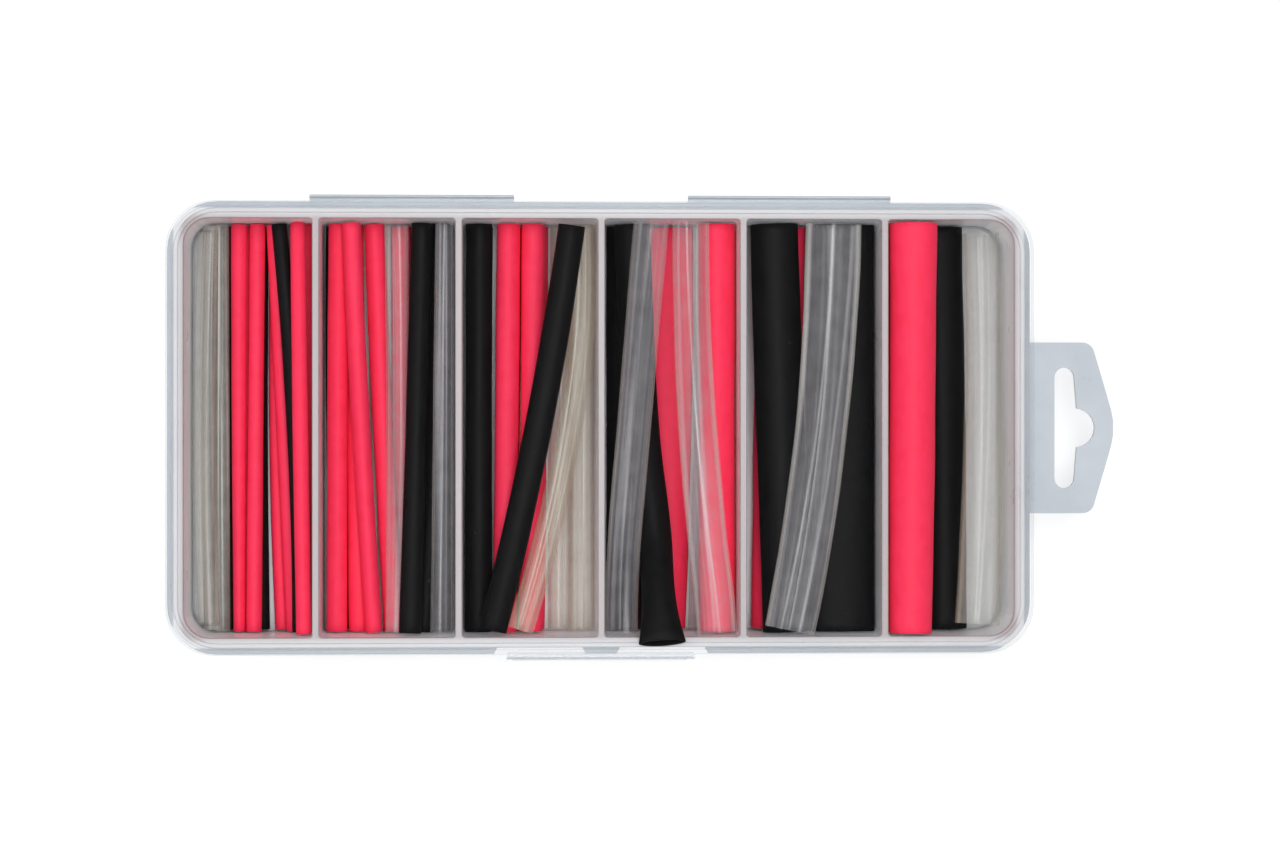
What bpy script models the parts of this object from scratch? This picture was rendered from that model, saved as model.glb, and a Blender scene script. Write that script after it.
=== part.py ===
"""Hanging storage case of heat-shrink tubing: a six-compartment tray with a hang tab, a clear
lid on two film hinges, a pull latch, and an assortment of loose tubes in six sizes.

Frame: X along the case (hang tab at +X), Y from the latch (-Y) to the hinge (+Y), +Z up.
The origin is under the middle of the tray, on its flat underside. Lengths are in millimetres
and become metres when a mesh is made.
"""
import bmesh
import bpy
import math

MM = 0.001

# ---------------------------------------------------------------- tray
RIM_HALF_L, RIM_HALF_W, RIM_R = 103.6, 53.35, 10.4    # outside of the rim wall
RIM_Z = 26.0                # top of the rim
RIM_WALL = 1.2              # rim wall thickness
LEDGE_Z = 25.5              # dividers and the step inside the rim stop at this height
LEDGE_W = 1.1               # width of the step inside the rim
FLOOR_Z = 1.3               # inside floor
SKIN_IN = 1.0               # the wall below the flange sits this far inside the rim wall
WALL_DRAFT = 0.5            # each wall leans in by this much from flange to floor
FLANGE_W, FLANGE_Z0, FLANGE_Z1 = 1.6, 22.2, 23.6
DIVIDERS = 5
PITCH = 34.65               # from one divider to the next
DIVIDER_T = 1.3             # at its top
POCKET_DRAFT = 0.35
POCKET_LIP = 0.2            # chamfer round each compartment's mouth
POCKET_R = 6.5              # compartment corners at the case's own corners

# ---------------------------------------------------------------- front notch with its catch
NOTCH_W = 50.6
CATCH_W = 9.2
NOTCH_SLANT = 1.3

# ---------------------------------------------------------------- hang tab with a euro slot
TAB_OUT = 20.6              # beyond the flange
TAB_W = 41.9
TAB_Z0, TAB_Z1 = 22.0, 23.5
SLOT_X = 111.3              # near side of the slot
SLOT_W, SLOT_LEN = 4.9, 29.6
BUMP_R = 4.75

# ---------------------------------------------------------------- lid, hinge and latch
LID_Z0, LID_Z1 = 23.85, 33.6
LID_WALL, LID_TOP = 1.2, 1.1
LID_EDGE_R = 2.4
HINGE_X, HINGE_W = 46.0, 49.6
HINGE_Y, HINGE_Z = 56.3, 23.72
HINGE_BEAD_R = 0.35
LATCH_W, LATCH_H, LATCH_T = 46.0, 11.0, 1.1
LATCH_Y, LATCH_Z = -55.75, 24.75
LATCH_PIN_R = 0.3

# ---------------------------------------------------------------- tubes
TUBE_LEN = 100.8
GAP = 0.3
COLOURS = {
    "red": ((0.86, 0.035, 0.09, 1.0), 0.55, 1.0),
    "black": ((0.012, 0.012, 0.014, 1.0), 0.5, 1.0),
    "clear": ((0.75, 0.77, 0.76, 1.0), 0.2, 0.35),
}


def material(name, colour, rough, alpha=1.0):
    """Principled material with the piece's own colour."""
    mat = bpy.data.materials.new(name)
    mat.use_nodes = True
    bsdf = mat.node_tree.nodes["Principled BSDF"]
    bsdf.inputs["Base Color"].default_value = colour
    bsdf.inputs["Roughness"].default_value = rough
    bsdf.inputs["Metallic"].default_value = 0.0
    bsdf.inputs["Alpha"].default_value = alpha
    mat.diffuse_color = colour
    return mat


def add_object(name, bm, mat, parent=None, pivot=(0.0, 0.0, 0.0), sharp=35):
    """Object from a bmesh given in world millimetres, with its origin at the pivot."""
    bmesh.ops.translate(bm, verts=bm.verts, vec=[-p for p in pivot])
    bmesh.ops.scale(bm, verts=bm.verts, vec=(MM, MM, MM))
    bmesh.ops.recalc_face_normals(bm, faces=bm.faces)
    mesh = bpy.data.meshes.new(name)
    bm.to_mesh(mesh)
    bm.free()
    mesh.shade_smooth()
    mesh.set_sharp_from_angle(angle=math.radians(sharp))
    mesh.materials.append(mat)
    obj = bpy.data.objects.new(name, mesh)
    bpy.context.collection.objects.link(obj)
    obj.location = [p * MM for p in pivot]
    if parent:
        obj.parent = parent
        obj.location = (0.0, 0.0, 0.0)
    return obj


def boolean(obj, cutter, operation):
    """Exact boolean by a hidden wire cutter."""
    cutter.hide_render = True
    cutter.display_type = "WIRE"
    mod = obj.modifiers.new(cutter.name, "BOOLEAN")
    mod.operation = operation
    mod.solver = "EXACT"
    mod.object = cutter


def rounded_rect(x0, x1, y0, y1, radii, seg):
    """Outline, counter-clockwise from the +X +Y corner; radii for (++, -+, --, +-)."""
    pts = []
    corners = ((x1, y1, 0), (x0, y1, 90), (x0, y0, 180), (x1, y0, 270))
    for (cx, cy, start), r in zip(corners, radii):
        sx = -1 if cx == x1 else 1
        sy = -1 if cy == y1 else 1
        for k in range(seg + 1):
            a = math.radians(start + 90.0 * k / seg)
            pts.append((cx + sx * r + r * math.cos(a), cy + sy * r + r * math.sin(a)))
    return pts


def case_outline(inset, seg=8):
    """The rim wall's outline moved inwards by inset (outwards when negative)."""
    hl, hw, r = RIM_HALF_L - inset, RIM_HALF_W - inset, RIM_R - inset
    return rounded_rect(-hl, hl, -hw, hw, (r,) * 4, seg)


def loft(bm, loops):
    """Closed body through loops of (outline, z), capped at both ends."""
    rings = [[bm.verts.new((x, y, z)) for x, y in outline] for outline, z in loops]
    n = len(rings[0])
    for a, b in zip(rings, rings[1:]):
        for k in range(n):
            bm.faces.new((a[k], a[(k + 1) % n], b[(k + 1) % n], b[k]))
    bm.faces.new(list(reversed(rings[0])))
    bm.faces.new(rings[-1])
    return bm


def prism_x(bm, profile, x0, x1):
    """Closed body of a (y, z) profile drawn from x0 to x1."""
    a = [bm.verts.new((x0, y, z)) for y, z in profile]
    b = [bm.verts.new((x1, y, z)) for y, z in profile]
    n = len(profile)
    for k in range(n):
        bm.faces.new((a[k], a[(k + 1) % n], b[(k + 1) % n], b[k]))
    bm.faces.new(list(reversed(a)))
    bm.faces.new(b)
    return bm


def arc(cx, cy, r, a0, a1, steps):
    """Points of an arc, angles in degrees."""
    return [(cx + r * math.cos(math.radians(a0 + (a1 - a0) * k / steps)),
             cy + r * math.sin(math.radians(a0 + (a1 - a0) * k / steps))) for k in range(steps + 1)]


def divider_x(i):
    return (i - (DIVIDERS - 1) / 2) * PITCH


def pocket_span(i):
    """X limits of compartment i at its mouth."""
    half = RIM_HALF_L - RIM_WALL - LEDGE_W
    lo = -half if i == 0 else divider_x(i - 1) + DIVIDER_T / 2
    hi = half if i == DIVIDERS else divider_x(i) - DIVIDER_T / 2
    return lo, hi


def pocket_outline(i, inset):
    lo, hi = pocket_span(i)
    hw = RIM_HALF_W - RIM_WALL - LEDGE_W - inset
    big = POCKET_R - inset
    small = 0.9
    left = big if i == 0 else small
    right = big if i == DIVIDERS else small
    return rounded_rect(lo + inset, hi - inset, -hw, hw, (right, left, left, right), 6)


def tab_outline():
    """Hang tab seen from above: square shoulders, a slanted nose and a shallow crown."""
    x0 = RIM_HALF_L - 0.5
    x1 = RIM_HALF_L + FLANGE_W
    hw = TAB_W / 2
    nose = [(x0, -hw), (x1 + 13.0, -hw)]
    nose += arc(x1 + 13.0, -hw + 3.0, 3.0, -90, -22, 5)[1:]
    nose += [(x1 + 18.9, -hw + 12.4), (x1 + 20.1, -hw + 16.6), (x1 + TAB_OUT, -1.6)]
    return nose + [(x, -y) for x, y in reversed(nose)]


def slot_outline():
    """Euro slot: a long slot across the tab with a round bump in its outer side."""
    x0, x1 = SLOT_X, SLOT_X + SLOT_W
    r = SLOT_W / 2
    cy = SLOT_LEN / 2 - r
    bump_x = x1 + 0.3
    a = math.degrees(math.acos(min(1.0, (x1 - bump_x + 0.6) / BUMP_R)))
    low = arc(x0 + r, -cy, r, 180, 360, 8)
    high = arc(x0 + r, cy, r, 0, 180, 8)
    return low + arc(bump_x, 0.0, BUMP_R, -a, a, 12) + high


def make_tray(mat):
    bm = bmesh.new()
    low = SKIN_IN + WALL_DRAFT
    loft(bm, [(case_outline(low + 1.1), 0.0), (case_outline(low + 0.32), 0.32),
              (case_outline(low), 1.1), (case_outline(SKIN_IN), FLANGE_Z0),
              (case_outline(-FLANGE_W + 0.2), FLANGE_Z0), (case_outline(-FLANGE_W), FLANGE_Z0 + 0.2),
              (case_outline(-FLANGE_W), FLANGE_Z1 - 0.2), (case_outline(-FLANGE_W + 0.2), FLANGE_Z1),
              (case_outline(0.0), FLANGE_Z1), (case_outline(0.0), RIM_Z - 0.25),
              (case_outline(0.25), RIM_Z)])
    tray = add_object("tray", bm, mat)

    bm = loft(bmesh.new(), [(case_outline(RIM_WALL), LEDGE_Z), (case_outline(RIM_WALL), RIM_Z - 0.2),
                            (case_outline(RIM_WALL - 0.3), RIM_Z + 0.1),
                            (case_outline(RIM_WALL - 0.3), RIM_Z + 1.0)])
    boolean(tray, add_object("cut_rim_recess", bm, mat), "DIFFERENCE")

    bm = bmesh.new()
    for i in range(DIVIDERS + 1):
        deep = POCKET_LIP + POCKET_DRAFT
        loft(bm, [(pocket_outline(i, deep + 0.45), FLOOR_Z), (pocket_outline(i, deep), FLOOR_Z + 0.45),
                  (pocket_outline(i, POCKET_LIP), LEDGE_Z - 0.3), (pocket_outline(i, -0.05), LEDGE_Z + 0.07),
                  (pocket_outline(i, -0.05), RIM_Z + 1.5)])
    boolean(tray, add_object("cut_compartments", bm, mat), "DIFFERENCE")

    # front notch: the flange is left out on both sides of the catch, with slanted ends
    bm = bmesh.new()
    y_in, y_out = -RIM_HALF_W - 0.06, -RIM_HALF_W - FLANGE_W - 1.0
    for s in (-1, 1):
        near, far = CATCH_W / 2, NOTCH_W / 2
        pts = [(s * near, y_in), (s * (near - NOTCH_SLANT), y_out),
               (s * (far + NOTCH_SLANT), y_out), (s * far, y_in)]
        if s < 0:
            pts.reverse()
        loft(bm, [(pts, FLANGE_Z0 - 1.0), (pts, FLANGE_Z1 + 0.55)])
    boolean(tray, add_object("cut_front_notch", bm, mat), "DIFFERENCE")

    # hang tab and the tray side of the two film hinges
    bm = bmesh.new()
    outline = tab_outline()
    loft(bm, [(outline, TAB_Z0), (outline, TAB_Z1)])
    for s in (-1, 1):
        x0 = s * HINGE_X - HINGE_W / 2
        bead = arc(HINGE_Y, HINGE_Z, HINGE_BEAD_R, -125, 170, 9)
        profile = [(RIM_HALF_W + 0.6, FLANGE_Z0 + 0.45)] + bead
        profile += [(HINGE_Y - 0.6, FLANGE_Z1 - 0.1), (RIM_HALF_W + 0.6, FLANGE_Z1 - 0.12)]
        prism_x(bm, profile, x0, x0 + HINGE_W)
    boolean(tray, add_object("add_tab_and_hinges", bm, mat), "UNION")
    bm = loft(bmesh.new(), [(slot_outline(), TAB_Z0 - 1), (slot_outline(), TAB_Z1 + 1)])
    boolean(tray, add_object("cut_euro_slot", bm, mat), "DIFFERENCE")
    return tray


def make_lid(mat, pivot):
    """Shallow clear lid: a skirt that stands on the flange, a domed edge and a raised panel."""
    out = -FLANGE_W
    r = LID_EDGE_R
    loops = [(case_outline(out), LID_Z0), (case_outline(out + 0.2), LID_Z1 - r)]
    loops += [(case_outline(out + 0.2 + r * (1 - math.cos(math.radians(a)))),
               LID_Z1 - r + r * math.sin(math.radians(a))) for a in (30, 60, 90)]
    loops += [(case_outline(out + 7.0), LID_Z1), (case_outline(out + 7.8), LID_Z1 + 0.5)]
    lid = add_object("lid", loft(bmesh.new(), loops), mat)
    inner = [(case_outline(out + LID_WALL), LID_Z0 - 1.0), (case_outline(out + LID_WALL), LID_Z0 + 0.8),
             (case_outline(out + LID_WALL + 0.1), LID_Z1 - r)]
    q = r - LID_TOP
    inner += [(case_outline(out + 0.2 + r - q * math.cos(math.radians(a))),
               LID_Z1 - r + q * math.sin(math.radians(a))) for a in (45, 90)]
    boolean(lid, add_object("cut_lid_inside", loft(bmesh.new(), inner), mat), "DIFFERENCE")

    # lid side of the film hinges, and the knuckle that carries the latch
    bm = bmesh.new()
    for s in (-1, 1):
        x0 = s * HINGE_X - HINGE_W / 2
        y0, y1 = RIM_HALF_W + 0.9, HINGE_Y - 0.5
        profile = [(y0, LID_Z0 + 0.1), (y1, LID_Z0 + 0.1), (y1 + 0.25, LID_Z0 + 0.5),
                   (y1 + 0.25, LID_Z0 + 0.9), (y1, LID_Z0 + 1.15), (y0, LID_Z0 + 1.15)]
        prism_x(bm, profile, x0, x0 + HINGE_W)
    y_skin = -RIM_HALF_W - FLANGE_W + 0.3
    bead = arc(LATCH_Y, LATCH_Z, LATCH_PIN_R, -32, -328, 9)
    half = LATCH_W / 2
    prism_x(bm, [(y_skin, LATCH_Z - 0.16)] + bead + [(y_skin, LATCH_Z + 0.16)], -half, half)
    boolean(lid, add_object("add_lid_hinges", bm, mat), "UNION")
    hang(lid, pivot)
    return lid


def hang(obj, empty):
    """Parent an object to the empty on its joint's axis and keep it where it is."""
    obj.parent = empty
    obj.location = [-c for c in empty.location]


def make_latch(mat, pivot):
    """Pull latch: a plate in front of the catch with a rolled finger lip and three grip ribs."""
    z1 = LATCH_Z - 0.55
    y_in = -RIM_HALF_W - FLANGE_W - 0.25
    y_out = y_in - LATCH_T
    z0 = z1 - LATCH_H
    profile = [(y_in, z1), (y_in, z0 + 1.6), (y_in - 0.9, z0), (y_out - 1.0, z0), (y_out - 1.0, z0 + 0.8)]
    for k in range(3):
        z = z0 + 2.2 + 1.6 * k
        profile += [(y_out, z), (y_out - 0.45, z + 0.35), (y_out - 0.45, z + 0.65), (y_out, z + 1.0)]
    profile += [(y_out, z1 - 0.4), (y_out + 0.4, z1)]
    half = LATCH_W / 2
    latch = add_object("latch", prism_x(bmesh.new(), profile, -half, half), mat)
    bm = bmesh.new()
    for s in (-1, 1):
        tri = [(s * (half - 3.0), z0 - 0.5), (s * (half + 0.5), z0 - 0.5), (s * (half + 0.5), z0 + 3.0)]
        if s < 0:
            tri.reverse()
        a = [bm.verts.new((x, y_in + 1.0, z)) for x, z in tri]
        b = [bm.verts.new((x, y_out - 2.0, z)) for x, z in tri]
        for k in range(3):
            bm.faces.new((a[k], a[(k + 1) % 3], b[(k + 1) % 3], b[k]))
        bm.faces.new(list(reversed(a)))
        bm.faces.new(b)
    boolean(latch, add_object("cut_latch_corners", bm, mat), "DIFFERENCE")
    hang(latch, pivot)
    return latch


def half_axes(diameter, width):
    """Half width and half height of a tube pressed oval, its girth unchanged."""
    a = (width or diameter) / 2
    return a, math.sqrt(max(diameter ** 2 / 2 - a * a, (0.2 * diameter) ** 2))


def rest_height(dx, lower, upper):
    """How far the upper oval's centre lies above the lower one's when it rests on it with GAP
    between them and its centre is dx to the side; None when it clears it sideways."""
    (a1, b1), (a2, b2) = lower, upper
    dx = abs(dx)
    if dx >= a1 + a2 + GAP:
        return None
    last = None
    for k in range(33):
        c, s = math.cos(math.pi * k / 64), math.sin(math.pi * k / 64)
        h1, h2 = math.hypot(a1 * c, b1 * s), math.hypot(a2 * c, b2 * s)
        x = (a1 * a1 / h1 + a2 * a2 / h2 + GAP) * c
        z = (b1 * b1 / h1 + b2 * b2 / h2 + GAP) * s
        if last and last[0] >= dx >= x:
            return last[1] + (z - last[1]) * (last[0] - dx) / (last[0] - x + 1e-9)
        last = (x, z)
    return last[1]


def along(values, stations, t):
    """Value at t of a list given at the stations, straight between them."""
    for k in range(len(stations) - 1):
        if t <= stations[k + 1]:
            u = (t - stations[k]) / (stations[k + 1] - stations[k])
            return values[k] * (1 - u) + values[k + 1] * u
    return values[-1]


def bow(ends, t):
    """Smooth curve through the values at the hinge end, the middle and the latch end."""
    a, m, b = ends
    return a * (1 - t) * (1 - 2 * t) + 4 * m * t * (1 - t) + b * t * (2 * t - 1)


def settle(i, diameter, stations, rows):
    """Lay the tubes of compartment i on its floor and on one another, lowest first."""
    lo, hi = pocket_span(i)
    fine = [k / 24 for k in range(25)]
    done = []
    for colour, ends, widths in rows:
        if isinstance(ends[0], tuple):
            xs, zs = ends
            done.append({"colour": colour, "x": list(xs), "w": list(widths), "z": list(zs)})
            continue
        ws = [(widths[0] * (1 - t) + widths[1] * t) or diameter for t in stations]
        zs = [5.0] * len(stations)
        for _ in range(6):
            xs = []
            for k, t in enumerate(stations):
                a, b = half_axes(diameter, ws[k])
                lean = POCKET_LIP + POCKET_DRAFT * max(0.0, LEDGE_Z - zs[k]) / LEDGE_Z
                lean += 0.2 if zs[k] - b < 2.2 else 0.0
                xs.append(min(max(bow(ends, t), lo + lean + a + GAP), hi - lean - a - GAP))
            need = []
            for t in fine:
                oval = half_axes(diameter, along(ws, stations, t))
                z = FLOOR_Z + GAP + oval[1]
                for other in done:
                    h = rest_height(along(xs, stations, t) - along(other["x"], stations, t),
                                    half_axes(diameter, along(other["w"], stations, t)), oval)
                    if h is not None:
                        z = max(z, along(other["z"], stations, t) + h)
                need.append(z)
            zs = [need[round(t * 24)] for t in stations]
            for _ in range(14):
                for k in range(len(stations) - 1):
                    short = max([n - along(zs, stations, t) for t, n in zip(fine, need)
                                 if stations[k] <= t <= stations[k + 1]] + [0.0])
                    zs[k] += short / 2
                    zs[k + 1] += short / 2
            for k in range(1, len(stations) - 1):
                for p in range(k):
                    for q in range(k + 1, len(stations)):
                        u = (stations[k] - stations[p]) / (stations[q] - stations[p])
                        zs[k] = max(zs[k], zs[p] * (1 - u) + zs[q] * u)
            spare = max([n - along(zs, stations, t) for t, n in zip(fine, need)] + [0.0])
            zs = [z + spare for z in zs]
        done.append({"colour": colour, "x": xs, "w": ws, "z": zs})
    return done


def make_tube(name, diameter, wall, sides, stations, tube, length, mat):
    """Open tube through its stations, each ring square to the run of the tube."""
    n = len(stations)
    ys = [length * (0.5 - t) + tube.get("shift", 0.0) for t in stations]
    pts = list(zip(tube["x"], ys, tube["z"]))
    bm = bmesh.new()
    shells = []
    for skin in (0.0, wall):
        rings = []
        for k, (x, y, z) in enumerate(pts):
            a, b = half_axes(diameter, tube["w"][k])
            p, q = pts[max(k - 1, 0)], pts[min(k + 1, n - 1)]
            run = math.atan2(q[0] - p[0], p[1] - q[1])
            ux, uy = math.cos(run), math.sin(run)
            ring = []
            for s in range(sides):
                ang = 2 * math.pi * (s + 0.5) / sides
                u = (a - skin) * math.cos(ang)
                ring.append(bm.verts.new((x + u * ux, y + u * uy, z + (b - skin) * math.sin(ang))))
            rings.append(ring)
        shells.append(rings)
    outer, inner = shells
    for rings in shells:
        for a, b in zip(rings, rings[1:]):
            for s in range(sides):
                bm.faces.new((a[s], a[(s + 1) % sides], b[(s + 1) % sides], b[s]))
    for end in (0, -1):
        a, b = outer[end], inner[end]
        for s in range(sides):
            bm.faces.new((a[s], a[(s + 1) % sides], b[(s + 1) % sides], b[s]))
    return add_object(name, bm, mat, sharp=50)


# Each compartment: size label, diameter, wall, sides, stations from the hinge end (0) to the
# latch end (1), and its tubes from the lowest up. A tube gives its colour, the X of its centre
# at the hinge end, middle and latch end, and its widths at the two ends (0 = round). A tube
# that is bent by its neighbours gives X, height and width at every station instead.
COMPARTMENTS = [
    ("3mm", 3.8, 0.35, 9, (0.0, 0.5, 1.0), [
        ("black", (-96.2, -96.4, -96.0), (0, 0)),
        ("black", (-92.0, -92.2, -91.8), (0, 0)),
        ("red", (-87.9, -88.1, -87.7), (0, 0)),
        ("black", (-83.8, -84.0, -83.5), (0, 0)),
        ("red", (-79.7, -79.9, -78.4), (0, 0)),
        ("clear", (-75.4, -75.2, -73.8), (0, 0)),
        ("clear", (-97.4, -99.6, -97.4), (0, 0)),
        ("clear", (-93.3, -93.2, -93.0), (0, 0)),
        ("clear", (-95.6, -96.4, -95.4), (0, 0)),
        ("red", (-89.0, -89.0, -88.8), (4.0, 3.0)),
        ("red", (-84.4, -84.8, -85.2), (0, 0)),
        ("red", (-80.3, -77.9, -75.4), (0, 0)),
        ("red", (-71.8, -71.2, -70.5), (0, 0)),
        ("black", (-78.9, -75.0, -73.6), (0, 0)),
        ("red", (-74.3, -73.3, -72.1), (0, 0))]),
    ("4mm", 5.0, 0.4, 10, (0.0, 0.5, 1.0), [
        ("black", (-66.4, -65.2, -63.4), (0, 0)),
        ("red", (-60.9, -60.1, -59.4), (0, 0)),
        ("clear", (-54.8, -54.5, -54.0), (0, 0)),
        ("red", (-49.1, -48.8, -48.3), (0, 0)),
        ("black", (-43.4, -43.1, -42.6), (0, 0)),
        ("black", (-37.6, -37.9, -38.1), (0, 0)),
        ("red", (-64.2, -64.6, -64.8), (5.1, 5.1)),
        ("red", (-55.6, -53.4, -50.7), (5.1, 5.0)),
        ("black", (-39.3, -40.3, -43.3), (0, 0)),
        ("red", (-61.1, -58.7, -55.6), (4.7, 4.3)),
        ("clear", (-50.1, -49.8, -50.2), (5.9, 5.0)),
        ("black", (-43.7, -45.1, -46.6), (5.2, 5.4)),
        ("clear", (-37.9, -38.0, -38.5), (4.5, 5.7))]),
    ("5mm", 6.2, 0.4, 12, (0.0, 0.25, 0.5, 0.75, 1.0), [
        ("black", (-29.4, -29.6, -29.7), (0, 0)),
        ("red", (-22.2, -22.7, -23.2), (0, 0)),
        ("red", (-15.6, -16.0, -16.5), (0, 0)),
        ("clear", (-9.0, -9.3, -9.5), (0, 0)),
        ("clear", (-2.5, -2.7, -3.9), (0, 0)),
        ("black", (-29.7, -29.8, -29.9), (6.4, 6.7)),
        ("red", (-22.4, -22.9, -23.4), (5.9, 5.9)),
        ("red", (-16.3, -16.7, -17.1), (5.7, 5.7)),
        ("clear", (-3.3, -7.6, -19.7), (6.2, 6.5)),
        ("black", (-7.1, -15.3, -26.4), (6.6, 6.9))]),
    ("8mm", 8.5, 0.45, 14, (0.0, 0.25, 0.5, 0.75, 0.9, 1.0), [
        ("black", (6.5, 6.5, 6.5), (9.0, 9.0)),
        ("red", (17.6, 17.9, 16.9), (12.2, 9.5)),
        ("clear", (30.2, 28.2, 26.6), (8.5, 8.5)),
        ("black", ((8.0, 9.0, 10.4, 13.4, 14.15, 14.7), (14.0, 13.8, 14.2, 16.2, 22.5, 28.3)),
         (8.9, 8.9, 8.7, 8.4, 8.5, 11.6)),
        ("red", (30.8, 29.8, 29.3), (9.0, 8.9)),
        ("clear", ((12.3, 10.1, 8.0, 5.8, 5.3, 5.3), (22.0, 22.5, 23.0, 24.0, 18.2, 16.4)),
         (8.5, 8.5, 8.4, 8.1, 8.1, 8.2)),
        ("clear", (22.1, 23.7, 28.9), (9.0, 10.0))]),
    ("10mm", 10.6, 0.5, 16, (0.0, 0.25, 0.5, 0.75, 1.0), [
        ("red", (45.6, 44.8, 44.0), (12.1, 12.0)),
        ("black", (57.4, 57.0, 56.6), (0, 0)),
        ("black", (60.6, 60.2, 60.2), (14.6, 15.6)),
        ("black", (43.0, 44.5, 46.2), (12.0, 11.8)),
        ("clear", (57.3, 54.0, 46.0), (13.7, 12.3))]),
    ("11mm", 11.0, 0.5, 16, (0.0, 0.5, 1.0), [
        ("red", (74.8, 74.8, 74.8), (7.8, 7.8)),
        ("black", (85.0, 85.9, 86.3), (11.6, 11.6)),
        ("clear", (94.8, 95.4, 93.4), (9.0, 11.2)),
        ("red", (76.9, 76.6, 76.0), (11.7, 10.8))]),
]


def end_limit(i, x, a, z):
    """How far along Y a tube of half width a at (x, z) may reach in compartment i."""
    lo, hi = pocket_span(i)
    lean = POCKET_LIP + POCKET_DRAFT * max(0.0, LEDGE_Z - z) / LEDGE_Z
    limit = RIM_HALF_W - RIM_WALL - LEDGE_W - lean - GAP
    r = POCKET_R - lean
    for side, wall, rounded in ((-1, lo, i == 0), (1, hi, i == DIVIDERS)):
        into = side * (x + side * a) - (side * wall - lean - r)
        if rounded and into > 0:
            limit -= r - math.sqrt(max(r * r - into * into, 0.0))
    return limit


def make_tubes(mats):
    """Every loose tube, cut a little under the compartments' length."""
    for i, (label, diameter, wall, sides, stations, rows) in enumerate(COMPARTMENTS):
        tubes = settle(i, diameter, stations, rows)
        count = {}
        for k, tube in enumerate(tubes):
            colour = tube["colour"]
            count[colour] = count.get(colour, 0) + 1
            name = f"tube_{label}_{colour}_{count[colour]}"
            reach = abs(tube["x"][0] - tube["x"][-1])
            half = (math.sqrt(TUBE_LEN ** 2 - reach ** 2) - 0.12 * ((3 * k + i) % 4)) / 2
            ends = []
            for e, f in ((0, 1), (-1, -2)):
                low = tube["z"][e] - half_axes(diameter, tube["w"][e])[1] < 2.2
                swing = abs(tube["x"][e] - tube["x"][f]) / (2 * half * abs(stations[e] - stations[f]))
                limit = end_limit(i, tube["x"][e], tube["w"][e] / 2, tube["z"][e]) - (0.25 if low else 0.0)
                if tube["z"][e] > RIM_Z + 1.0 and e == -1:
                    limit += 1.9
                ends.append(min(half + 2.0 if limit > 52 else half, limit - tube["w"][e] / 2 * swing))
            tube["shift"] = (ends[0] - ends[1]) / 2
            run = ends[0] + ends[1]
            make_tube(name, diameter, wall, sides, stations, tube, run, mats[colour])


def main():
    for obj in list(bpy.data.objects):
        bpy.data.objects.remove(obj, do_unlink=True)
    case = material("case_polypropylene", (0.72, 0.76, 0.80, 1.0), 0.35, 0.6)
    lid_mat = material("lid_clear", (0.85, 0.87, 0.90, 1.0), 0.08, 0.25)
    mats = {k: material("tube_" + k, c, r, a) for k, (c, r, a) in COLOURS.items()}

    hinge = bpy.data.objects.new("lid_hinge_axis", None)
    bpy.context.collection.objects.link(hinge)
    hinge.location = (0.0, HINGE_Y * MM, HINGE_Z * MM)
    latch_axis = bpy.data.objects.new("latch_axis", None)
    bpy.context.collection.objects.link(latch_axis)
    latch_axis.location = (0.0, LATCH_Y * MM, LATCH_Z * MM)

    make_tray(case)
    make_lid(lid_mat, hinge)
    make_latch(lid_mat, latch_axis)
    make_tubes(mats)


main()
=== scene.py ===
"""Looks of the heat-shrink tubing case: translucent tray, clear lid and latch, and the loose tubes
rebuilt as smooth open tubes round the centre lines of their CAD nodes. Lengths are in metres."""

import math
import random

import bpy
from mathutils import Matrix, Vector


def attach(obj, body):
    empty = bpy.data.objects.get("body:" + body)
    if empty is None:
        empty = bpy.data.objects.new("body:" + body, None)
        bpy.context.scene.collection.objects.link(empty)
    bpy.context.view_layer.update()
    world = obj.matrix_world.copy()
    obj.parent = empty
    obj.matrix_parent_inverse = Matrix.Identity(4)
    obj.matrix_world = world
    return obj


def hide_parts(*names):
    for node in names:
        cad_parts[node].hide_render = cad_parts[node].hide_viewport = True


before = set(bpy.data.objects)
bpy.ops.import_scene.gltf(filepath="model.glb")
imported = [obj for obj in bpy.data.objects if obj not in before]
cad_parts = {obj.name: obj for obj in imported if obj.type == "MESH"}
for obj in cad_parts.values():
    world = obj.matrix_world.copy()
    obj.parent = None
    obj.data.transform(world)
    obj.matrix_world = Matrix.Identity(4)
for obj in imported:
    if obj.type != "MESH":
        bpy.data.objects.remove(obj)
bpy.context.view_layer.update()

MM = 0.001
WALLS = {"3mm": 0.35 * MM, "4mm": 0.40 * MM, "5mm": 0.40 * MM, "8mm": 0.45 * MM, "10mm": 0.50 * MM,
         "11mm": 0.50 * MM}
YELLOWED_SIZES = ("5mm",)               # clear tubes of these sizes look yellowish
GREENISH_SIZES = ("3mm", "11mm")        # and those of these faintly green along their edges
SIDES = 48                  # round a tube
CREASE = 0.16               # depth of a clear tube's crease, as a part of its half height
RINGS = 56                  # along a tube
RIM_HALF = (103.6 * MM, 53.35 * MM)     # outside of the tray's rim wall
STATION_GAP = 4 * MM        # CAD rings of one tube are further apart than this along Y
LID_DOME = 2.3 * MM         # the lid's rounded border reaches up to this far below its highest point
# These four ranges blend the tray's painted light and shade by place, and with it its subsurface.
OUTSIDE_BLEND = (-0.1 * MM, 0.3 * MM)   # past RIM_HALF: from the rim's look to the flange's
RING_BLEND = (-2.6 * MM, -1.2 * MM)     # past RIM_HALF: from the dividers' look to the rim's
TOP_BLEND = (23.5 * MM, 25.3 * MM)      # heights: from the look of the walls to that of their tops
FLOOR_BLEND = (3.0 * MM, 9.0 * MM)      # heights: from the look of the floor to that of the walls
STEP_BLEND = 0.4 * MM                   # to either side of wall_z
CAMERA_AT = (-0.0305, 0.00034, 0.841)
LENS_MM = 94.4
SENSOR_MM = 36.0
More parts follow.
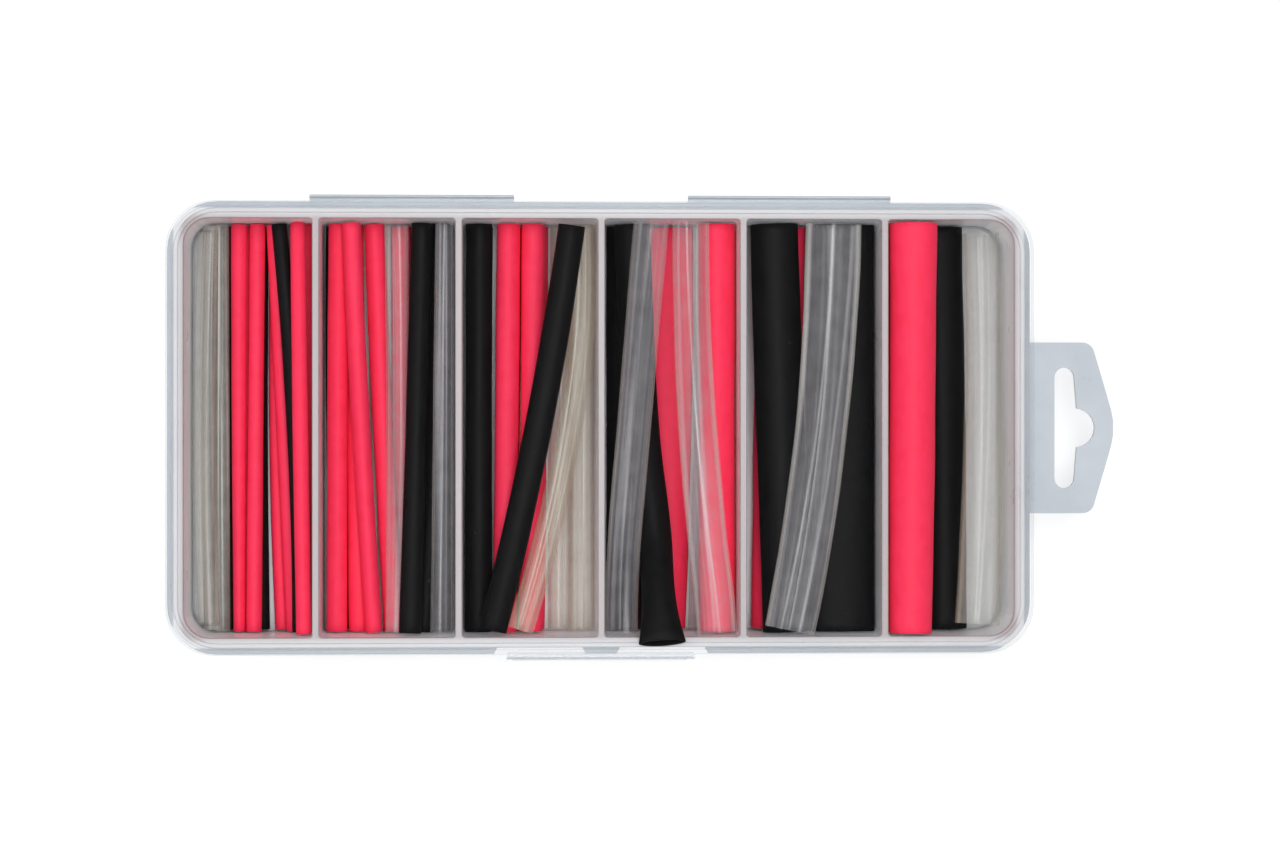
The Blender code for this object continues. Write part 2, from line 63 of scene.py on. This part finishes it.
TILT = math.radians(-2.8)   # of the camera, towards the hang tab
FLOOR_HALF = 3.0
FLOOR_GREY = 0.48
FLOOR_GLOW = 0.57           # keeps the shadows on the white floor faint
FLOOR_DROP = 0.2 * MM       # of the floor below the case, so that the two never share a plane
UV_RUN = 10 * MM            # length of tube that one unit of V stands for
SWELLS = ((0.012, 9), (0.006, 23))      # of a tube's section: share, and radians over its length
SOFT_RIM = 0.22             # share of the wall by which a cut end's edges are eased
CREASE_WIDTH = 0.22         # of a crease, as a part of the tube's half width
CREASE_SWAY = 0.10          # of a crease to either side along the tube, as the same part

scene = bpy.context.scene


# ---------------------------------------------------------------- camera and studio
def make_camera():
    """Over the case, looking down and leaning a little towards the hang tab."""
    data = bpy.data.cameras.new("camera")
    data.lens = LENS_MM
    data.sensor_width = SENSOR_MM
    data.clip_start = 0.05
    cam = bpy.data.objects.new("camera", data)
    scene.collection.objects.link(cam)
    cam.location = CAMERA_AT
    cam.rotation_euler = (0.0, TILT, 0.0)
    scene.camera = cam


def area_light(name, location, target, size, power):
    """White rectangular lamp aimed at target."""
    data = bpy.data.lights.new(name, "AREA")
    data.shape = "RECTANGLE"
    data.size, data.size_y = size
    data.energy = power
    lamp = bpy.data.objects.new(name, data)
    scene.collection.objects.link(lamp)
    lamp.location = location
    aim = Vector(target) - Vector(location)
    lamp.rotation_euler = aim.to_track_quat("-Z", "Y").to_euler()


def make_studio():
    """Soft light from above and both sides over a white floor."""
    world = bpy.data.worlds.new("studio")
    world.use_nodes = True
    back = world.node_tree.nodes["Background"]
    back.inputs["Color"].default_value = (0.96, 0.98, 1.0, 1.0)
    back.inputs["Strength"].default_value = 0.42
    scene.world = world
    area_light("key", (0.04, 0.06, 1.25), (0.02, 0, 0), (0.34, 0.9), 8.8)
    area_light("side_left", (-0.62, 0.10, 0.85), (0, 0, 0), (0.25, 1.0), 2.4)
    area_light("side_right", (0.66, -0.05, 0.85), (0, 0, 0), (0.25, 1.0), 1.0)

    mesh = bpy.data.meshes.new("floor")
    half = FLOOR_HALF
    mesh.from_pydata([(-half, -half, 0), (half, -half, 0), (half, half, 0), (-half, half, 0)], [],
                     [(0, 1, 2, 3)])
    floor = bpy.data.objects.new("floor", mesh)
    scene.collection.objects.link(floor)
    floor.location.z = -FLOOR_DROP
    mat = bpy.data.materials.new("floor_white")
    mat.use_nodes = True
    bsdf = mat.node_tree.nodes["Principled BSDF"]
    bsdf.inputs["Base Color"].default_value = (FLOOR_GREY, FLOOR_GREY, FLOOR_GREY, 1.0)
    bsdf.inputs["Roughness"].default_value = 0.9
    bsdf.inputs["Emission Color"].default_value = (1.0, 1.0, 1.0, 1.0)
    bsdf.inputs["Emission Strength"].default_value = FLOOR_GLOW
    mesh.materials.append(mat)

    scene.view_settings.view_transform = "Standard"
    scene.view_settings.look = "None"
    scene.cycles.max_bounces = 24
    scene.cycles.diffuse_bounces = 6
    scene.cycles.glossy_bounces = 6
    scene.cycles.transmission_bounces = 24
    scene.cycles.transparent_max_bounces = 48
    scene.cycles.sample_clamp_indirect = 3.0
    scene.cycles.caustics_reflective = False


# ---------------------------------------------------------------- node helpers
class Nodes:
    """Short names for building one material's node tree."""

    def __init__(self, name):
        self.mat = bpy.data.materials.new(name)
        self.mat.use_nodes = True
        self.tree = self.mat.node_tree
        self.bsdf = self.tree.nodes["Principled BSDF"]

    def add(self, kind, **values):
        node = self.tree.nodes.new(kind)
        for key, value in values.items():
            setattr(node, key, value)
        return node

    def link(self, a, b):
        self.tree.links.new(a, b)

    def set(self, **values):
        for key, value in values.items():
            self.bsdf.inputs[key.replace("_", " ")].default_value = value

    def coords(self, source, scale):
        """Object or UV coordinates, scaled."""
        coord = self.add("ShaderNodeTexCoord")
        mapping = self.add("ShaderNodeMapping")
        mapping.inputs["Scale"].default_value = scale
        self.link(coord.outputs[source], mapping.inputs["Vector"])
        return mapping.outputs["Vector"]

    def noise(self, vector, scale, detail=3.0, rough=0.5):
        node = self.add("ShaderNodeTexNoise")
        node.inputs["Scale"].default_value = scale
        node.inputs["Detail"].default_value = detail
        node.inputs["Roughness"].default_value = rough
        self.link(vector, node.inputs["Vector"])
        return node.outputs["Fac"]

    def ramp(self, fac, stops):
        """Colour ramp; stops are (position, colour)."""
        node = self.add("ShaderNodeValToRGB")
        elements = node.color_ramp.elements
        while len(elements) < len(stops):
            elements.new(0.5)
        for element, (position, colour) in zip(elements, stops):
            element.position = position
            element.color = colour if len(colour) == 4 else (*colour, 1.0)
        self.link(fac, node.inputs["Fac"])
        return node.outputs["Color"]

    def range(self, fac, low, high, start=0.0, end=1.0):
        """Maps fac from start..end to low..high and clamps it."""
        node = self.add("ShaderNodeMapRange")
        for key, value in (("From Min", start), ("From Max", end), ("To Min", low), ("To Max", high)):
            node.inputs[key].default_value = value
        self.link(fac, node.inputs["Value"])
        return node.outputs["Result"]

    def math(self, operation, a, b):
        """Math node on two sockets or numbers; one that needs a single input ignores b."""
        node = self.add("ShaderNodeMath", operation=operation)
        for socket, value in zip(node.inputs, (a, b)):
            if isinstance(value, (int, float)):
                socket.default_value = value
            else:
                self.link(value, socket)
        return node.outputs["Value"]

    def mix(self, fac, a, b):
        node = self.add("ShaderNodeMix", data_type="RGBA")
        for key, value in ((0, fac), (6, a), (7, b)):
            if isinstance(value, (int, float, tuple)):
                node.inputs[key].default_value = value
            else:
                self.link(value, node.inputs[key])
        return node.outputs[2]

    def bump(self, height, strength, distance):
        node = self.add("ShaderNodeBump")
        node.inputs["Strength"].default_value = strength
        node.inputs["Distance"].default_value = distance
        self.link(height, node.inputs["Height"])
        self.link(node.outputs["Normal"], self.bsdf.inputs["Normal"])

    def use(self, output, socket):
        self.link(output, self.bsdf.inputs[socket])


# ---------------------------------------------------------------- materials
def case_material():
    """Milky polypropylene, its base colour painted light and shade by place: a lighter rim, a darker
    and cooler flange and tab outside it, darker divider tops inside it, and a darker floor under
    lighter compartment walls, which also pass light on softly."""
    m = Nodes("case_polypropylene")
    where = m.coords("Object", (1, 1, 1))
    cloud = m.noise(where, 70, 4, 0.6)

    def pair(low, high):
        return m.ramp(cloud, [(0.3, low), (0.7, high)])

    # Painted light and shade by place: lighter rim, darker divider tops, darker floor, lighter walls,
    # darker cooler flange and tab.
    rim = pair((0.56, 0.565, 0.58), (0.61, 0.615, 0.63))
    divider = pair((0.385, 0.35, 0.36), (0.43, 0.39, 0.40))
    floor = pair((0.58, 0.59, 0.61), (0.65, 0.66, 0.68))
    walls = pair((0.73, 0.74, 0.76), (0.79, 0.80, 0.82))
    thin = pair((0.425, 0.465, 0.51), (0.48, 0.52, 0.56))
    place = m.add("ShaderNodeSeparateXYZ")
    m.link(where, place.inputs[0])
    past_x = m.math("SUBTRACT", m.math("ABSOLUTE", place.outputs["X"], 0.0), RIM_HALF[0])
    past_y = m.math("SUBTRACT", m.math("ABSOLUTE", place.outputs["Y"], 0.0), RIM_HALF[1])
    past = m.math("MAXIMUM", past_x, past_y)
    outside = m.range(past, 0.0, 1.0, *OUTSIDE_BLEND)
    ring = m.range(past, 0.0, 1.0, *RING_BLEND)
    top = m.range(place.outputs["Z"], 0.0, 1.0, *TOP_BLEND)
    off_floor = m.range(place.outputs["Z"], 0.0, 1.0, *FLOOR_BLEND)
    # Blends the painted shade of the floor into the painted light of the walls, the shaded divider
    # tops into the lit rim, then the shaded flange and tab.
    inside = m.mix(top, m.mix(off_floor, floor, walls), m.mix(ring, divider, rim))
    m.use(m.mix(outside, inside, thin), "Base Color")
    m.use(m.math("MULTIPLY", m.math("MULTIPLY", off_floor, m.range(top, 0.75, 0.25)),
                 m.range(outside, 1.0, 0.0)), "Subsurface Weight")
    fine = m.noise(where, 1500, 2)
    m.use(m.range(cloud, 0.26, 0.36, 0.3, 0.7), "Roughness")
    m.bump(m.math("ADD", m.math("MULTIPLY", cloud, 0.8), m.math("MULTIPLY", fine, 0.2)), 0.12, 0.0001)
    m.set(IOR=1.49, Subsurface_Scale=0.006, Specular_IOR_Level=0.4)
    m.bsdf.inputs["Subsurface Radius"].default_value = (1.0, 1.0, 1.0)
    return m.mat


def clear_case_material(name, tint, face_on, grazing, wall_z):
    """Clear moulded plastic, near colourless. face_on is how much it shows square to the eye and
    grazing how much that grows where it turns away, each below and above wall_z in its own frame."""
    m = Nodes(name)
    where = m.coords("Object", (1, 1, 1))
    flow = m.noise(where, 40, 2)
    darker, lighter = [0.92 * c for c in tint], [1.08 * c for c in tint]
    m.use(m.ramp(flow, [(0.3, darker), (0.7, lighter)]), "Base Color")
    m.use(m.range(flow, 0.06, 0.14, 0.3, 0.7), "Roughness")
    place = m.add("ShaderNodeSeparateXYZ")
    m.link(where, place.inputs[0])
    step = (wall_z - STEP_BLEND, wall_z + STEP_BLEND)
    weight = m.add("ShaderNodeLayerWeight")
    weight.inputs["Blend"].default_value = 0.35
    turned = m.math("MULTIPLY", m.range(weight.outputs["Facing"], 0.0, 1.0, 0.14, 1.0),
                    m.range(place.outputs["Z"], *grazing, *step))
    m.use(m.math("ADD", m.range(place.outputs["Z"], *face_on, *step), turned), "Alpha")
    m.bump(flow, 0.15, 0.0002)
    return m.mat


def opaque_tube_material(name, deep, bright, rough, gleam, dust):
    """Matte extruded polyolefin: fine lines along the tube, faint mottle, a little dust."""
    m = Nodes(name)
    lines = m.noise(m.coords("UV", (26, 1.2, 1)), 1.0, 3)
    where = m.coords("Object", (1, 1, 1))
    mottle = m.noise(where, 260, 4, 0.6)
    both = m.math("ADD", m.math("MULTIPLY", lines, 0.4), m.math("MULTIPLY", mottle, 0.6))
    colour = m.ramp(both, [(0.35, deep), (0.62, bright)])
    if dust:
        cells = m.add("ShaderNodeTexVoronoi", feature="F1")
        cells.inputs["Scale"].default_value = 420
        m.link(where, cells.inputs["Vector"])
        specks = m.range(cells.outputs["Distance"], 1.0, 0.0, 0.05, 0.11)
        patchy = m.range(m.noise(where, 120, 2), 0.0, 1.0, 0.60, 0.70)
        colour = m.mix(m.math("MULTIPLY", specks, patchy), colour, dust)
    m.use(colour, "Base Color")
    m.use(m.range(both, rough - 0.06, rough + 0.08, 0.3, 0.7), "Roughness")
    m.bump(lines, 0.15, 0.00003)
    m.set(IOR=1.45, Specular_IOR_Level=gleam)
    return m.mat


def clear_tube_material(name, cover_range, haze, streak_highlight, flank_tint_and_glint):
    """Clear polyolefin: see-through with a faint haze, a few thin pale painted highlight streaks
    along it,
    and flanks painted pale: partly the wall's own tint seen edge-on, partly a painted edge
    reflection.
    U runs once round the tube from its underside."""
    m = Nodes(name)
    fine = m.noise(m.coords("UV", (30, 0.06, 1)), 1.0, 2, 0.5)
    # Painted highlights: thin pale streaks along the tube, lighter and more opaque than the haze.
    broad = m.noise(m.coords("UV", (6, 0.035, 1)), 1.0, 0)
    off_level = m.math("ABSOLUTE", m.math("SUBTRACT", broad, 0.5), 0.0)
    lines = m.range(off_level, 1.0, 0.0, 0.004, 0.055)
    painted_streaks = m.math("MAXIMUM", lines, m.range(fine, 0.0, 0.40, 0.56, 0.72))
    place = m.add("ShaderNodeSeparateXYZ")
    m.link(m.coords("UV", (2, 1, 1)), place.inputs[0])
    # Flanks: the wall's tint seen edge-on plus a painted pale edge reflection, lighter and more
    # opaque.
    turn = m.math("FRACT", place.outputs["X"], 0.0)
    edge = m.range(m.math("ABSOLUTE", m.math("SUBTRACT", turn, 0.5), 0.0), 1.0, 0.0, 0.11, 0.17)
    mottle = m.noise(m.coords("Object", (1, 1, 1)), 260, 3)
    m.use(m.mix(edge, m.mix(painted_streaks, haze, streak_highlight), flank_tint_and_glint), "Base Color")
    cover = m.math("ADD", m.range(mottle, *cover_range, 0.3, 0.7), m.math("MULTIPLY", painted_streaks, 0.13))
    m.use(m.math("ADD", cover, m.math("MULTIPLY", edge, 0.16)), "Alpha")
    m.use(m.range(mottle, 0.16, 0.26, 0.3, 0.7), "Roughness")
    m.bump(fine, 0.3, 0.0001)
    m.set(IOR=1.5, Specular_IOR_Level=0.7)
    return m.mat


# ---------------------------------------------------------------- tubes
def stations(node):
    """(centre, half width, half height) of each CAD ring of a tube, and the tube's wall."""
    wall = WALLS[node.name.split("_")[1]]
    seen = {tuple(round(c, 7) for c in v.co) for v in node.data.vertices}
    points = sorted((Vector(p) for p in seen), key=lambda p: -p.y)
    groups = [[points[0]]]
    for p in points[1:]:
        if groups[-1][-1].y - p.y > STATION_GAP:
            groups.append([])
        groups[-1].append(p)
    rings = []
    for group in groups:
        centre = sum(group, Vector()) / len(group)
        xx = sum((p.x - centre.x) ** 2 for p in group)
        yy = sum((p.y - centre.y) ** 2 for p in group)
        half = [(wall + math.sqrt(8 * m / len(group) - wall * wall)) / 2
                for m in (xx + yy, sum((p.z - centre.z) ** 2 for p in group))]
        rings.append((centre, half[0], half[1]))
    return rings, wall


def hermite(ts, values, t):
    """Smooth curve through values at ts, taken at t."""
    n = len(ts)
    k = max(i for i in range(n - 1) if t >= ts[i] - 1e-9)

    def slope(i):
        a, b = max(i - 1, 0), min(i + 1, n - 1)
        if a == i or b == i:
            inner = 1 if i == 0 else n - 2
            first = (values[b] - values[a]) / (ts[b] - ts[a])
            return 2 * first - slope(inner) if n > 2 else first
        return (values[b] - values[a]) / (ts[b] - ts[a])

    h = ts[k + 1] - ts[k]
    u = (t - ts[k]) / h
    return (values[k] * (1 + 2 * u) * (1 - u) ** 2 + values[k + 1] * u * u * (3 - 2 * u)
            + slope(k) * (h * u * (1 - u) ** 2) - slope(k + 1) * (h * u * u * (1 - u)))


def tube_section(a, b, angle, power):
    """Point of an oval section; power 2 is an ellipse, more is boxier."""
    c, s = math.cos(angle), math.sin(angle)
    r = (abs(c) ** power + abs(s) ** power) ** (-1 / power)
    return a * r * c, b * r * s


def make_tube(node, material):
    """Smooth open tube on the CAD tube's centre line, with its wall and softened cut ends. The clear
    ones have a shallow crease along their top, for the light and dark bands that the photo shows."""
    rings, wall = stations(node)
    creased = "_clear_" in node.name
    rng = random.Random(node.name)
    ts = [(rings[0][0].y - r[0].y) / (rings[0][0].y - rings[-1][0].y) for r in rings]
    phase = [rng.uniform(0, 2 * math.pi) for _ in range(4)]
    crease_at = rng.uniform(-0.2, 0.2)
    steps = [k / RINGS for k in range(RINGS + 1)]
    centres = [hermite(ts, [r[0] for r in rings], t) for t in steps]
    outer, inner = [], []
    for k, t in enumerate(steps):
        ahead = centres[min(k + 1, RINGS)] - centres[max(k - 1, 0)]
        along = ahead.normalized()
        side = along.cross(Vector((0, 0, 1))).normalized()
        up = side.cross(along)
        a = hermite(ts, [r[1] for r in rings], t)
        b = hermite(ts, [r[2] for r in rings], t)
        wave = 1 + sum(share * math.sin(turn * t + p) for (share, turn), p in zip(SWELLS, phase))
        a, b = a * wave, b * (2 - wave)
        power = 2.0 + 0.15 * math.sin(5 * t + phase[2])
        rows = []
        for skin in (0.0, wall):
            row = []
            for s in range(SIDES):
                angle = 2 * math.pi * s / SIDES - math.pi / 2
                u, v = tube_section(a - skin, b - skin, angle, power)
                if creased and v > 0:
                    groove = crease_at + CREASE_SWAY * math.sin(4 * t + phase[3])
                    v -= CREASE * b * math.exp(-((u / a - groove) / CREASE_WIDTH) ** 2)
                row.append(centres[k] + side * u + up * v)
            rows.append(row)
        outer.append(rows[0])
        inner.append(rows[1])
    tube_mesh(node, outer, inner, wall, material)


def tube_mesh(node, outer, inner, wall, material):
    """Joins the outer and inner skins over softened rims, with UVs round and along the tube."""
    soft = SOFT_RIM * wall
    skins = []
    for order, mates in ((outer, inner), (list(reversed(inner)), list(reversed(outer)))):
        first = [p.lerp(q, SOFT_RIM) for p, q in zip(order[0], mates[0])]
        last = [p.lerp(q, SOFT_RIM) for p, q in zip(order[-1], mates[-1])]
        start = [p + (q - p).normalized() * soft for p, q in zip(order[0], order[1])]
        end = [p + (q - p).normalized() * soft for p, q in zip(order[-1], order[-2])]
        skins += [first, start] + order[1:-1] + [end, last]
    n = len(skins)
    verts = [p for row in skins for p in row]
    faces = []
    for k in range(n):
        j = (k + 1) % n
        for s in range(SIDES):
            r = (s + 1) % SIDES
            faces.append((k * SIDES + s, k * SIDES + r, j * SIDES + r, j * SIDES + s))
    shift = random.Random(node.name + "_uv").uniform(0, 500)
    mesh = bpy.data.meshes.new(node.name + "_skin")
    mesh.from_pydata(verts, [], faces)
    uv = mesh.uv_layers.new(name="run")
    for face in mesh.polygons:
        k, s = divmod(face.index, SIDES)
        for loop, (dk, ds) in zip(face.loop_indices, ((0, 0), (0, 1), (1, 1), (1, 0))):
            y = verts[((k + dk) % n) * SIDES].y
            uv.data[loop].uv = ((s + ds) / SIDES, y / UV_RUN + shift)
    mesh.shade_smooth()
    mesh.materials.append(material)
    mesh.update()
    piece = bpy.data.objects.new(node.name + "_skin", mesh)
    scene.collection.objects.link(piece)
    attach(piece, "case")
    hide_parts(node.name)


def make_tubes():
    """Every tube of the case, in the material of its size and colour."""
    # Clear looks: cover range, haze, painted highlight streak colour, flank tint with painted edge
    # reflection.
    mats = {
        "red": opaque_tube_material("tube_red", (0.91, 0.026, 0.078), (0.97, 0.036, 0.105), 0.55,
                                    0.25, None),
        "black": opaque_tube_material("tube_black", (0.0030, 0.0030, 0.0034), (0.0055, 0.0055, 0.006),
                                      0.5, 0.10, (0.06, 0.06, 0.06, 1.0)),
        "clear": clear_tube_material("tube_clear", (0.045, 0.08), (0.55, 0.54, 0.57, 1.0),
                                     (0.80, 0.79, 0.82, 1.0), (0.86, 0.84, 0.78, 1.0)),
        "yellowed": clear_tube_material("tube_clear_yellowed", (0.08, 0.14), (0.56, 0.50, 0.37, 1.0),
                                        (0.84, 0.81, 0.70, 1.0), (0.80, 0.74, 0.58, 1.0)),
        "greenish": clear_tube_material("tube_clear_greenish", (0.07, 0.12), (0.68, 0.70, 0.64, 1.0),
                                        (0.86, 0.88, 0.82, 1.0), (0.80, 0.82, 0.62, 1.0)),
    }
    for name in sorted(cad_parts):
        if name.startswith("tube_"):
            size, look = name.split("_")[1:3]
            if look == "clear" and size in YELLOWED_SIZES:
                look = "yellowed"
            elif look == "clear" and size in GREENISH_SIZES:
                look = "greenish"
            make_tube(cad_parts[name], mats[look])


# ---------------------------------------------------------------- case
def wall_top(name, crown):
    """Height, in the node's own frame, crown below its highest point."""
    return max(v.co.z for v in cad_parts[name].data.vertices) - crown


def dress(name, material):
    """Gives a CAD node its material."""
    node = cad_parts[name]
    node.data.materials.clear()
    node.data.materials.append(material)


make_camera()
make_studio()
dress("tray", case_material())
dress("lid", clear_case_material("lid_clear", (0.48, 0.52, 0.57), (0.06, 0.001), (0.15, 0.60),
                                 wall_top("lid", LID_DOME)))
dress("latch", clear_case_material("latch_clear", (0.66, 0.69, 0.73), (0.30, 0.30), (-0.18, -0.18),
                                   0.0))
make_tubes()
